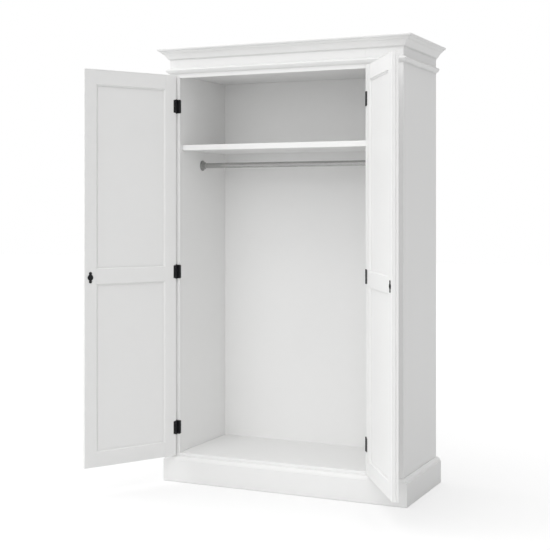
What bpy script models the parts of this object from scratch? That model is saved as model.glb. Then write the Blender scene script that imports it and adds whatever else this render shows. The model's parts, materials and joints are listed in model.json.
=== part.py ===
"""Two-door wardrobe: carcass, face frame, mouldings, shelf, hanging rail and two framed doors.

Metres, +Z up. The origin is on the floor, in the middle of the front plinth's underside,
the doors face -Y, and the doors stand open as built.
"""
import math

import bmesh
import bpy
from mathutils import Matrix

# Overall carcass
BODY_WIDTH = 1.135
BODY_DEPTH = 0.476
HEIGHT = 2.0
GAP = 0.0003

# Boards
SIDE_THICKNESS = 0.022
SIDE_BUILD_UP = 0.047
BACK_THICKNESS = 0.010
FLOOR_THICKNESS = 0.022
CEILING_THICKNESS = 0.018
TOP_THICKNESS = 0.0157
BOARD_CHAMFER = 0.001

# Face frame
FRAME_THICKNESS = 0.025
LEFT_STILE_WIDTH = 0.050
RIGHT_STILE_WIDTH = 0.171
BAND_HEIGHT = 0.0167
CEILING_LIP = 0.012

# Plinth
PLINTH_FACE_HEIGHT = 0.102
PLINTH_TOP_HEIGHT = 0.0165
PLINTH_PROJECTION = 0.023
PLINTH_ARC_START = math.radians(15)
PLINTH_ARC_END = math.radians(75)
SILL_HEIGHT = 0.0125

# Neck moulding and cornice
NECK_HEIGHT = 0.0293
NECK_PROJECTION = 0.0168
NECK_TIP_SHARE = 0.70
NECK_NOSE_SHARE = 0.08
NECK_HOLLOW_POWER = 0.9
FRIEZE_HEIGHT = 0.037
CORNICE_HEIGHT = 0.051
CORNICE_PROJECTION = 0.0467
CORNICE_FOOT_SHARE = 0.08
CORNICE_WAVE = 0.035
FILLET_HEIGHT = 0.010

# Shelf and hanging rail
SHELF_THICKNESS = 0.025
SHELF_DROP = 0.321
SHELF_SETBACK = 0.003
RAIL_RADIUS = 0.0125
RAIL_WALL = 0.0012
RAIL_DROP = 0.0645
RAIL_FROM_FRONT = 0.227
FLANGE_RADIUS = 0.025
FLANGE_THICKNESS = 0.003
SOCKET_WALL = 0.004
SOCKET_LENGTH = 0.015

# Doors
DOOR_THICKNESS = 0.025
DOOR_GAP = 0.0035
OVERLAY = 0.007
DOOR_TOP_CLEARANCE = 0.0057
DOOR_BOTTOM_CLEARANCE = 0.002
MEETING_GAP = 0.002
TONGUE_WIDTH = 0.010
TONGUE_THICKNESS = 0.008
TONGUE_CLEARANCE = 0.0005
DOOR_STILE_WIDTH = 0.058
DOOR_RAIL_HEIGHT = 0.066
STICKING_WIDTH = 0.009
STICKING_DEPTH = 0.005
PANEL_THICKNESS = 0.012
LOCK_RAIL_CENTRE = 0.8411
LEFT_OPEN_ANGLE = 119.0
RIGHT_OPEN_ANGLE = 122.5

# Hinges
HINGE_HEIGHT = 0.063
TOP_HINGE_INSET = 0.143
MIDDLE_HINGE_CENTRE = 0.8495
BOTTOM_HINGE_INSET = 0.1295
LEAF_THICKNESS = 0.0012
LEAF_GAP = 0.0003
WEB_INSET = 0.0002
DOOR_LEAF_WIDTH = 0.0135
REVEAL_LEAF_DEPTH = 0.0105
KNUCKLE_RADIUS = 0.0035
PIN_RADIUS = 0.0022
PIN_CLEARANCE = 0.0001
PIN_CAP_RADIUS = 0.0032
PIN_CAP_HEIGHT = 0.0025
AXIS_FORWARD = 0.009
AXIS_OUTBOARD = 0.0054

# Plates, the same on both faces of each door
PLATE_FROM_EDGE = 0.028
PLATE_BELOW_RAIL_CENTRE = 0.0035
PLATE_RADIUS = 0.0135
PLATE_LOBE_RADIUS = 0.0075
PLATE_HEIGHT = 0.050
PLATE_THICKNESS = 0.002
BOSS_RADIUS = 0.0045
BOSS_HEIGHT = 0.002
BOSS_TAPER = 0.8

ROUND_STEPS = 24

# Places worked out from the sizes above
FRONT = PLINTH_PROJECTION / 2
BACK = FRONT + BODY_DEPTH
HALF_WIDTH = BODY_WIDTH / 2
INSIDE_FRONT = FRONT + FRAME_THICKNESS + GAP
INSIDE_BACK = BACK - BACK_THICKNESS - GAP
BETWEEN_SIDES = HALF_WIDTH - SIDE_THICKNESS - GAP
BETWEEN_LININGS = HALF_WIDTH - SIDE_BUILD_UP
OPENING_LEFT = -HALF_WIDTH + LEFT_STILE_WIDTH
OPENING_RIGHT = HALF_WIDTH - RIGHT_STILE_WIDTH
PLINTH_TOP = PLINTH_FACE_HEIGHT + PLINTH_TOP_HEIGHT
FLOOR_TOP = PLINTH_TOP + SILL_HEIGHT
CARCASS_TOP = HEIGHT - TOP_THICKNESS - GAP
CORNICE_BOTTOM = HEIGHT - CORNICE_HEIGHT
NECK_TOP = CORNICE_BOTTOM - FRIEZE_HEIGHT
NECK_BOTTOM = NECK_TOP - NECK_HEIGHT
OPENING_TOP = NECK_BOTTOM - BAND_HEIGHT
CEILING_BOTTOM = OPENING_TOP + CEILING_LIP
SHELF_TOP = CEILING_BOTTOM - SHELF_DROP
SHELF_BOTTOM = SHELF_TOP - SHELF_THICKNESS
RAIL_Z = SHELF_BOTTOM - RAIL_DROP
RAIL_Y = FRONT + RAIL_FROM_FRONT
DOOR_TOP = NECK_BOTTOM - DOOR_TOP_CLEARANCE
DOOR_BOTTOM = PLINTH_TOP + DOOR_BOTTOM_CLEARANCE
LOCK_RAIL_Z = DOOR_BOTTOM + LOCK_RAIL_CENTRE
DOOR_SPAN = OPENING_RIGHT - OPENING_LEFT + 2 * OVERLAY
HALF_SPAN = DOOR_SPAN / 2
AXIS_Y = FRONT - AXIS_FORWARD
DOOR_INNER_Y = AXIS_FORWARD - DOOR_GAP
DOOR_OUTER_Y = DOOR_INNER_Y - DOOR_THICKNESS
KNUCKLE_HEIGHT = HINGE_HEIGHT / 3
HINGE_CENTRES = {
    "top": DOOR_TOP - TOP_HINGE_INSET,
    "middle": DOOR_BOTTOM + MIDDLE_HINGE_CENTRE,
    "bottom": DOOR_BOTTOM + BOTTOM_HINGE_INSET,
}

PAINT = ("white_paint", (0.88, 0.88, 0.87), 0.0, 0.42)
INSIDE_PAINT = ("inside_paint", (0.86, 0.86, 0.85), 0.0, 0.50)
IRON = ("black_iron", (0.012, 0.012, 0.013), 0.9, 0.45)
STEEL = ("brushed_steel", (0.55, 0.55, 0.54), 1.0, 0.32)


def clear_scene():
    for old in list(bpy.data.objects):
        bpy.data.objects.remove(old, do_unlink=True)


def make_collection(name):
    collection = bpy.data.collections.new(name)
    bpy.context.scene.collection.children.link(collection)
    return collection


def make_material(node, finish):
    slot, colour, metallic, roughness = finish
    material = bpy.data.materials.new(slot + "_" + node)
    material.use_nodes = True
    shader = material.node_tree.nodes["Principled BSDF"]
    shader.inputs["Base Color"].default_value = (*colour, 1.0)
    shader.inputs["Metallic"].default_value = metallic
    shader.inputs["Roughness"].default_value = roughness
    material.diffuse_color = (*colour, 1.0)
    return material


def add_object(name, mesh, finish, parent=None, smooth=False):
    mesh.materials.clear()
    mesh.materials.append(make_material(name, finish))
    part = bpy.data.objects.new(name, mesh)
    PARTS.objects.link(part)
    part.parent = parent
    if smooth:
        mesh.shade_smooth()
        mesh.set_sharp_from_angle(angle=math.radians(40))
    return part


def add_cutter(name, mesh):
    cutter = bpy.data.objects.new(name, mesh)
    CUTTERS.objects.link(cutter)
    cutter.hide_render = True
    cutter.display_type = "WIRE"
    return cutter


def close_mesh(mesh):
    """Weld the loose caps and turn every face outwards."""
    work = bmesh.new()
    work.from_mesh(mesh)
    bmesh.ops.remove_doubles(work, verts=work.verts, dist=0.000005)
    bmesh.ops.recalc_face_normals(work, faces=work.faces)
    work.to_mesh(mesh)
    work.free()
    return mesh


def box_mesh(low, high):
    size = [b - a for a, b in zip(low, high)]
    centre = [(a + b) / 2 for a, b in zip(low, high)]
    work = bmesh.new()
    bmesh.ops.create_cube(work, size=1.0)
    bmesh.ops.scale(work, vec=size, verts=work.verts)
    bmesh.ops.translate(work, vec=centre, verts=work.verts)
    mesh = bpy.data.meshes.new("box")
    work.to_mesh(mesh)
    work.free()
    return mesh


def board(name, low, high, finish=PAINT, parent=None):
    part = add_object(name, box_mesh(low, high), finish, parent)
    chamfer = part.modifiers.new("chamfer", "BEVEL")
    chamfer.width = BOARD_CHAMFER
    chamfer.segments = 1
    return part


def outline_mesh(points, start, end, plane="xy"):
    """Extrude a flat outline from start to end across its plane.

    plane xy runs along Z, yz (outline in Y and Z) runs along X, and xz runs along Y.
    """
    curve = bpy.data.curves.new("outline", "CURVE")
    curve.dimensions = "2D"
    curve.fill_mode = "BOTH"
    curve.extrude = abs(end - start) / 2
    spline = curve.splines.new("POLY")
    spline.points.add(len(points) - 1)
    for spot, (u, v) in zip(spline.points, points):
        spot.co = (u, v, 0.0, 1.0)
    spline.use_cyclic_u = True
    holder = bpy.data.objects.new("outline", curve)
    bpy.context.scene.collection.objects.link(holder)
    graph = bpy.context.evaluated_depsgraph_get()
    mesh = bpy.data.meshes.new_from_object(holder.evaluated_get(graph))
    bpy.data.objects.remove(holder, do_unlink=True)
    bpy.data.curves.remove(curve)
    mesh.transform(Matrix.Translation((0.0, 0.0, (start + end) / 2)))
    turns = {
        "xy": Matrix.Identity(4),
        "yz": Matrix(((0, 0, 1, 0), (1, 0, 0, 0), (0, 1, 0, 0), (0, 0, 0, 1))),
        "xz": Matrix(((1, 0, 0, 0), (0, 0, 1, 0), (0, 1, 0, 0), (0, 0, 0, 1))),
    }
    mesh.transform(turns[plane])
    return close_mesh(mesh)


def turned_mesh(profile, axis="z"):
    """Turn a closed (radius, height) outline round Z, X or -Y with a Screw modifier."""
    mesh = bpy.data.meshes.new("profile")
    spots = [(r, 0.0, h) for r, h in profile]
    count = len(spots)
    on_axis = profile[0][0] == 0.0 and profile[-1][0] == 0.0
    edges = [(k, k + 1) for k in range(count - 1)]
    if not on_axis:
        edges.append((count - 1, 0))
    mesh.from_pydata(spots, edges, [])
    holder = bpy.data.objects.new("profile", mesh)
    bpy.context.scene.collection.objects.link(holder)
    screw = holder.modifiers.new("turn", "SCREW")
    screw.steps = ROUND_STEPS
    screw.render_steps = ROUND_STEPS
    screw.use_merge_vertices = True
    screw.merge_threshold = 0.000005
    graph = bpy.context.evaluated_depsgraph_get()
    turned = bpy.data.meshes.new_from_object(holder.evaluated_get(graph))
    bpy.data.objects.remove(holder, do_unlink=True)
    bpy.data.meshes.remove(mesh)
    if axis == "x":
        turned.transform(Matrix.Rotation(math.radians(90), 4, "Y"))
    if axis == "-y":
        turned.transform(Matrix.Rotation(math.radians(90), 4, "X"))
    return close_mesh(turned)


def boolean(mesh, other, operation):
    """Join or cut two closed meshes with the exact solver and return the result."""
    target = bpy.data.objects.new("target", mesh)
    bpy.context.scene.collection.objects.link(target)
    tool = add_cutter("tool", other)
    step = target.modifiers.new("step", "BOOLEAN")
    step.operation = operation
    step.solver = "EXACT"
    step.object = tool
    graph = bpy.context.evaluated_depsgraph_get()
    result = bpy.data.meshes.new_from_object(target.evaluated_get(graph))
    bpy.data.objects.remove(target, do_unlink=True)
    bpy.data.objects.remove(tool, do_unlink=True)
    return result


# Mouldings

def plinth_profile():
    """Projection and height of the plinth: a flat face under a quarter-round top."""
    steps = 5
    rise = PLINTH_TOP_HEIGHT
    run = PLINTH_PROJECTION - GAP
    points = [(GAP, 0.0), (PLINTH_PROJECTION, 0.0)]
    across = math.cos(PLINTH_ARC_START) - math.cos(PLINTH_ARC_END)
    climb = math.sin(PLINTH_ARC_END) - math.sin(PLINTH_ARC_START)
    for k in range(steps + 1):
        turn = PLINTH_ARC_START + (PLINTH_ARC_END - PLINTH_ARC_START) * k / steps
        along = (math.cos(turn) - math.cos(PLINTH_ARC_END)) / across
        up = (math.sin(turn) - math.sin(PLINTH_ARC_START)) / climb
        points.append((GAP + run * along, PLINTH_FACE_HEIGHT + rise * up))
    return points


def neck_profile():
    """A sloping top, a narrow nose and a hollow underside."""
    steps = 5
    tip_low = NECK_BOTTOM + NECK_TIP_SHARE * NECK_HEIGHT
    nose = NECK_NOSE_SHARE * NECK_HEIGHT
    points = [(GAP, NECK_BOTTOM)]
    for k in range(1, steps + 1):
        share = k / steps
        out = GAP + (NECK_PROJECTION - GAP) * share
        hollow = math.sin(share * math.pi / 2) ** NECK_HOLLOW_POWER
        height = NECK_BOTTOM + (tip_low - NECK_BOTTOM) * hollow
        points.append((out, height))
    points.append((NECK_PROJECTION, tip_low + nose))
    points.append((GAP, NECK_TOP))
    return points


def cornice_profile():
    """A low fillet, an S-shaped slope and a top fillet."""
    steps = 10
    foot = CORNICE_FOOT_SHARE * CORNICE_HEIGHT
    slope_top = HEIGHT - FILLET_HEIGHT
    slope_bottom = CORNICE_BOTTOM + foot
    points = [(GAP, CORNICE_BOTTOM), (foot, CORNICE_BOTTOM)]
    for k in range(steps + 1):
        share = k / steps
        wave = CORNICE_WAVE * math.sin(2 * math.pi * share)
        out = foot + (CORNICE_PROJECTION - foot) * (share + wave)
        height = slope_bottom + (slope_top - slope_bottom) * (share - wave)
        points.append((out, height))
    points.append((CORNICE_PROJECTION, HEIGHT))
    points.append((GAP, HEIGHT))
    return points


def mitre_front(mesh):
    """Lengthen each end of a front moulding by its projection, less the joint gap."""
    for vertex in mesh.vertices:
        out = FRONT - vertex.co.y
        vertex.co.x = math.copysign(HALF_WIDTH + out - GAP, vertex.co.x)


def mitre_side(mesh):
    """Run the front end of a side moulding out to the mitre."""
    for vertex in mesh.vertices:
        if vertex.co.y < FRONT + BODY_DEPTH / 2:
            vertex.co.y = FRONT - (vertex.co.x - HALF_WIDTH)


def moulding(name, profile):
    """Front, left and right lengths of one moulding, mitred at the front corners."""
    front_outline = [(FRONT - out, up) for out, up in profile]
    front = outline_mesh(front_outline, -HALF_WIDTH, HALF_WIDTH, "yz")
    mitre_front(front)
    add_object(name + "_front", front, PAINT)
    side_outline = [(HALF_WIDTH + out, up) for out, up in profile]
    right = outline_mesh(side_outline, FRONT, BACK, "xz")
    mitre_side(right)
    add_object(name + "_right", right, PAINT)
    left = right.copy()
    left.transform(Matrix.Scale(-1, 4, (1, 0, 0)))
    left.flip_normals()
    add_object(name + "_left", left, PAINT)


# Carcass

def sides():
    for name, side in (("left", -1), ("right", 1)):
        outer = sorted((side * HALF_WIDTH, side * (HALF_WIDTH - SIDE_THICKNESS)))
        board(name + "_side_panel", (outer[0], INSIDE_FRONT, 0.0), (outer[1], BACK, CARCASS_TOP))
        inner = sorted((side * BETWEEN_SIDES, side * BETWEEN_LININGS))
        board(name + "_side_lining", (inner[0], INSIDE_FRONT, FLOOR_TOP + GAP),
              (inner[1], INSIDE_BACK, CEILING_BOTTOM - GAP), INSIDE_PAINT)


def back_and_top():
    board("back_panel", (-BETWEEN_SIDES, INSIDE_BACK + GAP, 0.0),
          (BETWEEN_SIDES, BACK, CARCASS_TOP), INSIDE_PAINT)
    board("ceiling_board", (-BETWEEN_SIDES, INSIDE_FRONT, CEILING_BOTTOM),
          (BETWEEN_SIDES, INSIDE_BACK, CEILING_BOTTOM + CEILING_THICKNESS), INSIDE_PAINT)
    board("top_cover", (-HALF_WIDTH, FRONT, CARCASS_TOP + GAP), (HALF_WIDTH, BACK, HEIGHT))


def floor_board():
    """The floor reaches the front between the stiles and is notched behind them."""
    outline = [
        (OPENING_LEFT + GAP, FRONT), (OPENING_RIGHT - GAP, FRONT),
        (OPENING_RIGHT - GAP, INSIDE_FRONT), (BETWEEN_SIDES, INSIDE_FRONT),
        (BETWEEN_SIDES, INSIDE_BACK), (-BETWEEN_SIDES, INSIDE_BACK),
        (-BETWEEN_SIDES, INSIDE_FRONT), (OPENING_LEFT + GAP, INSIDE_FRONT),
    ]
    mesh = outline_mesh(outline, FLOOR_TOP - FLOOR_THICKNESS, FLOOR_TOP)
    add_object("floor_board", mesh, INSIDE_PAINT)


def face_frame():
    rear = FRONT + FRAME_THICKNESS
    board("left_front_stile", (-HALF_WIDTH, FRONT, 0.0), (OPENING_LEFT, rear, CARCASS_TOP))
    board("right_front_stile", (OPENING_RIGHT, FRONT, 0.0), (HALF_WIDTH, rear, CARCASS_TOP))
    board("header_board", (OPENING_LEFT + GAP, FRONT, OPENING_TOP),
          (OPENING_RIGHT - GAP, rear, CARCASS_TOP))


def shelf_and_rail():
    reach = BETWEEN_LININGS - GAP
    board("shelf", (-reach, INSIDE_FRONT + SHELF_SETBACK, SHELF_BOTTOM),
          (reach, INSIDE_BACK - GAP, SHELF_TOP), INSIDE_PAINT)
    inner = RAIL_RADIUS + GAP
    outer = inner + SOCKET_WALL
    flange = [(0.0, 0.0), (FLANGE_RADIUS, 0.0), (FLANGE_RADIUS, FLANGE_THICKNESS),
              (outer, FLANGE_THICKNESS), (outer, SOCKET_LENGTH), (inner, SOCKET_LENGTH),
              (inner, FLANGE_THICKNESS), (0.0, FLANGE_THICKNESS)]
    for name, side in (("left", -1), ("right", 1)):
        mesh = turned_mesh(flange, "x")
        if side == 1:
            mesh.transform(Matrix.Rotation(math.radians(180), 4, "Z"))
        part = add_object(name + "_rail_flange", mesh, STEEL, smooth=True)
        part.location = (side * reach, RAIL_Y, RAIL_Z)
    half_length = reach - FLANGE_THICKNESS - GAP
    bore = RAIL_RADIUS - RAIL_WALL
    tube = [(bore, -half_length), (RAIL_RADIUS, -half_length),
            (RAIL_RADIUS, half_length), (bore, half_length)]
    part = add_object("hanging_rail", turned_mesh(tube, "x"), STEEL, smooth=True)
    part.location = (0.0, RAIL_Y, RAIL_Z)


# Doors, built closed about their hinge axis: i runs from the axis towards the meeting edge

def flip(points, side):
    """Mirror an outline for the right-hand door."""
    return [(side * i, y) for i, y in points]


def door_width(side):
    """Hinge edge to the free edge of the inner face; the right door's tongue overlaps the left."""
    return HALF_SPAN - MEETING_GAP / 2 + side * TONGUE_WIDTH / 2


def sticking(edge, direction):
    """The moulded, grooved inner edge of a member, from its inner face to its outer face."""
    lip = edge + direction * STICKING_WIDTH
    middle = (DOOR_INNER_Y + DOOR_OUTER_Y) / 2
    half_groove = PANEL_THICKNESS / 2 + GAP
    return [
        (edge, DOOR_INNER_Y), (lip, DOOR_INNER_Y - STICKING_DEPTH), (lip, middle + half_groove),
        (edge, middle + half_groove), (edge, middle - half_groove), (lip, middle - half_groove),
        (lip, DOOR_OUTER_Y + STICKING_DEPTH), (edge, DOOR_OUTER_Y),
    ]


def rail_spans():
    """Bottom and top of the bottom, lock and top rails between their moulded edges."""
    half = DOOR_RAIL_HEIGHT / 2
    return {
        "bottom_rail": (DOOR_BOTTOM, DOOR_BOTTOM + DOOR_RAIL_HEIGHT),
        "lock_rail": (LOCK_RAIL_Z - half, LOCK_RAIL_Z + half),
        "top_rail": (DOOR_TOP - DOOR_RAIL_HEIGHT, DOOR_TOP),
    }


def cut_sticking(mesh, edge, direction, side):
    """Take the moulded lip off a stile behind each rail, with mitred corners."""
    over = 0.002
    lip = edge + direction * (STICKING_WIDTH + over)
    for low, high in rail_spans().values():
        reach = STICKING_WIDTH + over
        outline = flip([(edge, low), (lip, low - reach), (lip, high + reach), (edge, high)], side)
        cutter = outline_mesh(outline, DOOR_OUTER_Y - over, DOOR_INNER_Y + over, "xz")
        mesh = boolean(mesh, cutter, "DIFFERENCE")
    return mesh


def door_stiles(name, side, pivot):
    hinge_edge = AXIS_OUTBOARD
    free_edge = AXIS_OUTBOARD + door_width(side)
    hinge_line = hinge_edge + DOOR_STILE_WIDTH
    outline = [(hinge_edge, DOOR_OUTER_Y), (hinge_edge, DOOR_INNER_Y)] + sticking(hinge_line, 1)
    mesh = outline_mesh(flip(outline, side), DOOR_BOTTOM, DOOR_TOP)
    mesh = cut_sticking(mesh, hinge_line, 1, side)
    add_object(name + "_hinge_stile", mesh, PAINT, pivot)
    free_line = free_edge - DOOR_STILE_WIDTH
    clearance = TONGUE_CLEARANCE if side == 1 else 0.0
    step_y = DOOR_OUTER_Y + TONGUE_THICKNESS + clearance
    outer_edge = free_edge - side * TONGUE_WIDTH
    outline = [(outer_edge, DOOR_OUTER_Y), (outer_edge, step_y), (free_edge, step_y),
               (free_edge, DOOR_INNER_Y)] + sticking(free_line, -1)
    mesh = outline_mesh(flip(outline, side), DOOR_BOTTOM, DOOR_TOP)
    mesh = cut_sticking(mesh, free_line, -1, side)
    add_object(name + "_meeting_stile", mesh, PAINT, pivot)


def rail_outline(low, high, moulded_low, moulded_high):
    """Rail section in Y and Z, moulded on one or both edges."""
    top = sticking(high, 1) if moulded_high else [(high, DOOR_INNER_Y), (high, DOOR_OUTER_Y)]
    foot = sticking(low, -1) if moulded_low else [(low, DOOR_INNER_Y), (low, DOOR_OUTER_Y)]
    return [(y, z) for z, y in top] + [(y, z) for z, y in reversed(foot)]


def door_rails(name, side, pivot):
    start = AXIS_OUTBOARD + DOOR_STILE_WIDTH + GAP
    end = AXIS_OUTBOARD + door_width(side) - DOOR_STILE_WIDTH - GAP
    middle = (start + end) / 2
    for rail, (low, high) in rail_spans().items():
        outline = rail_outline(low, high, rail != "bottom_rail", rail != "top_rail")
        mesh = outline_mesh(outline, start, end, "yz")
        for vertex in mesh.vertices:
            beyond = max(0.0, vertex.co.z - high, low - vertex.co.z)
            vertex.co.x += beyond if vertex.co.x < middle else -beyond
            vertex.co.x *= side
        close_mesh(mesh)
        add_object(name + "_" + rail, mesh, PAINT, pivot)


def door_panels(name, side, pivot):
    """Flat panels held in the grooves."""
    spans = rail_spans()
    start = AXIS_OUTBOARD + DOOR_STILE_WIDTH + GAP
    end = AXIS_OUTBOARD + door_width(side) - DOOR_STILE_WIDTH - GAP
    middle = (DOOR_INNER_Y + DOOR_OUTER_Y) / 2
    x_low, x_high = sorted((side * start, side * end))
    openings = {
        "lower_panel": (spans["bottom_rail"][1] + GAP, spans["lock_rail"][0] - GAP),
        "upper_panel": (spans["lock_rail"][1] + GAP, spans["top_rail"][0] - GAP),
    }
    for panel, (low, high) in openings.items():
        mesh = box_mesh((x_low, middle - PANEL_THICKNESS / 2, low),
                        (x_high, middle + PANEL_THICKNESS / 2, high))
        add_object(name + "_" + panel, mesh, PAINT, pivot)


# Hinges and plates

def knuckle(low, high, bore):
    """A tube about the hinge axis."""
    return turned_mesh([(bore, low), (KNUCKLE_RADIUS, low), (KNUCKLE_RADIUS, high), (bore, high)])


def frame_leaf_mesh(side):
    """Leaf across the frame's front, folded into the opening, with two knuckles."""
    bore = PIN_RADIUS + PIN_CLEARANCE
    face = AXIS_FORWARD - LEAF_GAP
    over = face - LEAF_THICKNESS
    reveal = AXIS_OUTBOARD + OVERLAY + LEAF_GAP
    folded = [(-KNUCKLE_RADIUS, face), (-KNUCKLE_RADIUS, over), (reveal + LEAF_THICKNESS, over),
              (reveal + LEAF_THICKNESS, AXIS_FORWARD + REVEAL_LEAF_DEPTH),
              (reveal, AXIS_FORWARD + REVEAL_LEAF_DEPTH), (reveal, face)]
    mesh = outline_mesh(flip(folded, side), -HINGE_HEIGHT / 2, HINGE_HEIGHT / 2)
    near = -bore - WEB_INSET
    far = -KNUCKLE_RADIUS + WEB_INSET
    foot = over + LEAF_THICKNESS / 2
    web = [(far, 0.0), (near, 0.0), (near, foot), (far, foot)]
    inner = KNUCKLE_HEIGHT / 2 + GAP / 2
    for low, high in ((-HINGE_HEIGHT / 2, -inner), (inner, HINGE_HEIGHT / 2)):
        block = outline_mesh(flip(web, side), low + WEB_INSET, high - WEB_INSET)
        mesh = boolean(mesh, block, "UNION")
        mesh = boolean(mesh, knuckle(low, high, bore), "UNION")
    return mesh


def door_leaf_mesh(side):
    """Leaf round the door's edge onto its inner face, with the middle knuckle."""
    bore = PIN_RADIUS + PIN_CLEARANCE
    face = DOOR_INNER_Y + LEAF_GAP
    edge = AXIS_OUTBOARD - LEAF_GAP
    folded = [(edge - LEAF_THICKNESS, 0.0), (edge, 0.0), (edge, face),
              (AXIS_OUTBOARD + DOOR_LEAF_WIDTH, face),
              (AXIS_OUTBOARD + DOOR_LEAF_WIDTH, face + LEAF_THICKNESS),
              (edge - LEAF_THICKNESS, face + LEAF_THICKNESS)]
    mesh = outline_mesh(flip(folded, side), -HINGE_HEIGHT / 2, HINGE_HEIGHT / 2)
    half = KNUCKLE_HEIGHT / 2 - GAP / 2
    near = bore + WEB_INSET
    far = edge - LEAF_THICKNESS / 2
    bridge = [(near, -LEAF_THICKNESS), (far, -LEAF_THICKNESS), (far, LEAF_THICKNESS),
              (near, LEAF_THICKNESS)]
    block = outline_mesh(flip(bridge, side), WEB_INSET - half, half - WEB_INSET)
    mesh = boolean(mesh, block, "UNION")
    mesh = boolean(mesh, knuckle(-half, half, bore), "UNION")
    return mesh


def pin_mesh():
    cap_low = HINGE_HEIGHT / 2 + GAP
    cap_high = cap_low + PIN_CAP_HEIGHT
    half = PIN_CAP_RADIUS / 2
    upper = [(PIN_RADIUS, cap_low), (PIN_CAP_RADIUS, cap_low),
             (PIN_CAP_RADIUS, cap_low + PIN_CAP_HEIGHT / 2), (half, cap_high), (0.0, cap_high)]
    lower = [(r, -z) for r, z in reversed(upper)]
    return turned_mesh(lower + upper)


def hinges(name, side, pivot):
    """Three hinges: frame leaf and pin stay with the carcass, the door leaf with the door."""
    axis_x = pivot.location.x
    for place, z in HINGE_CENTRES.items():
        label = name + "_" + place
        leaf = add_object(label + "_frame_leaf", frame_leaf_mesh(side), IRON)
        leaf.location = (axis_x, AXIS_Y, z)
        pin = add_object(label + "_hinge_pin", pin_mesh(), IRON, smooth=True)
        pin.location = (axis_x, AXIS_Y, z)
        leaf = add_object(label + "_door_leaf", door_leaf_mesh(side), IRON, pivot)
        leaf.location = (0.0, 0.0, z)


def plate_outline():
    """A disc with a round lobe above and below, as one polar curve."""
    centre = PLATE_HEIGHT / 2 - PLATE_LOBE_RADIUS
    steps = 48
    points = []
    for k in range(steps):
        turn = 2 * math.pi * k / steps
        across = math.cos(turn)
        up = math.sin(turn)
        radius = PLATE_RADIUS
        under_root = PLATE_LOBE_RADIUS ** 2 - (centre * across) ** 2
        if under_root > 0:
            radius = max(radius, centre * abs(up) + math.sqrt(under_root))
        points.append((radius * across, radius * up))
    return points


def plate_mesh():
    """The plate with a low tapered boss at its middle, facing +Y."""
    plate = outline_mesh(plate_outline(), 0.0, PLATE_THICKNESS, "xz")
    boss = turned_mesh([(0.0, -PLATE_THICKNESS / 2), (BOSS_RADIUS, -PLATE_THICKNESS / 2),
                        (BOSS_RADIUS * BOSS_TAPER, -PLATE_THICKNESS - BOSS_HEIGHT),
                        (0.0, -PLATE_THICKNESS - BOSS_HEIGHT)], "-y")
    return boolean(plate, boss, "UNION")


def plates(name, side, pivot):
    """One on the inner face, and its twin turned round on the outer face."""
    across = side * (AXIS_OUTBOARD + door_width(side) - PLATE_FROM_EDGE)
    height = LOCK_RAIL_Z - PLATE_BELOW_RAIL_CENTRE
    inner = add_object(name + "_inner_plate", plate_mesh(), IRON, pivot)
    inner.location = (across, DOOR_INNER_Y + GAP, height)
    outer = add_object(name + "_outer_plate", plate_mesh(), IRON, pivot)
    outer.location = (across, DOOR_OUTER_Y - GAP, height)
    outer.rotation_euler.z = math.pi


def door(name, side, axis_x, open_angle):
    """side is 1 for the left door, whose meeting edge lies towards +X, and -1 for the right."""
    pivot = bpy.data.objects.new(name + "_pivot", None)
    PARTS.objects.link(pivot)
    pivot.location = (axis_x, AXIS_Y, 0.0)
    door_stiles(name, side, pivot)
    door_rails(name, side, pivot)
    door_panels(name, side, pivot)
    plates(name, side, pivot)
    hinges(name, side, pivot)
    pivot.rotation_euler.z = math.radians(-side * open_angle)


clear_scene()
PARTS = make_collection("two_door_wardrobe")
CUTTERS = make_collection("cutters")
sides()
back_and_top()
floor_board()
face_frame()
moulding("plinth", plinth_profile())
moulding("neck_moulding", neck_profile())
moulding("cornice", cornice_profile())
shelf_and_rail()
door("left_door", 1, OPENING_LEFT - OVERLAY - AXIS_OUTBOARD, LEFT_OPEN_ANGLE)
door("right_door", -1, OPENING_RIGHT + OVERLAY + AXIS_OUTBOARD, RIGHT_OPEN_ANGLE)
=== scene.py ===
import json
import math

import bmesh
import bpy
import numpy as np
from mathutils import Matrix, Vector


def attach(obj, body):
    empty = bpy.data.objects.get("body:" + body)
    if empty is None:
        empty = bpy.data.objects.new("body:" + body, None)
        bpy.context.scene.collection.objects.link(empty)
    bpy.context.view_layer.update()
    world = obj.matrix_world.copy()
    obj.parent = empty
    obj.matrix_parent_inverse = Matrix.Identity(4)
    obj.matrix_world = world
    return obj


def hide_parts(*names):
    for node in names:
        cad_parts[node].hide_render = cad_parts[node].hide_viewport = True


# Two-door wardrobe: the painted joinery, ironwork and hanging rail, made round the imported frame.
# Metres, +Z up. Door pieces are worked out with the door shut, then swung out to where it stands.
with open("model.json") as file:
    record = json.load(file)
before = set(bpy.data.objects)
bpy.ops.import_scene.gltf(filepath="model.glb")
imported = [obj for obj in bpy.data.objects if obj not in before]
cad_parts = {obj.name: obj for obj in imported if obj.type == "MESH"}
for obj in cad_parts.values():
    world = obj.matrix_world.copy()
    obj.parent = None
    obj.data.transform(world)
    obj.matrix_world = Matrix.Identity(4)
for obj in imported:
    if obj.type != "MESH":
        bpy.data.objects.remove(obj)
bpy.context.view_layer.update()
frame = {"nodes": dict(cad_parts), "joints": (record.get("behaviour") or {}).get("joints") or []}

jointOf = {joint["child"]: joint for joint in frame["joints"]}
gap = 0.0003


# Reading the frame

def swing(points, body, degrees):
    # turn about the body's hinge: axis point + R (point - axis point)
    joint = jointOf[body]
    turn = np.array(Matrix.Rotation(math.radians(degrees), 3, Vector(joint["axis"])))
    pivot = np.array(joint["pos_m"])
    return (points - pivot) @ turn.T + pivot


def shutTurn(body):
    # degrees from the stored pose to the shut door, which is the joint's lower limit
    return jointOf[body]["range_deg"][0]


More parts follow.
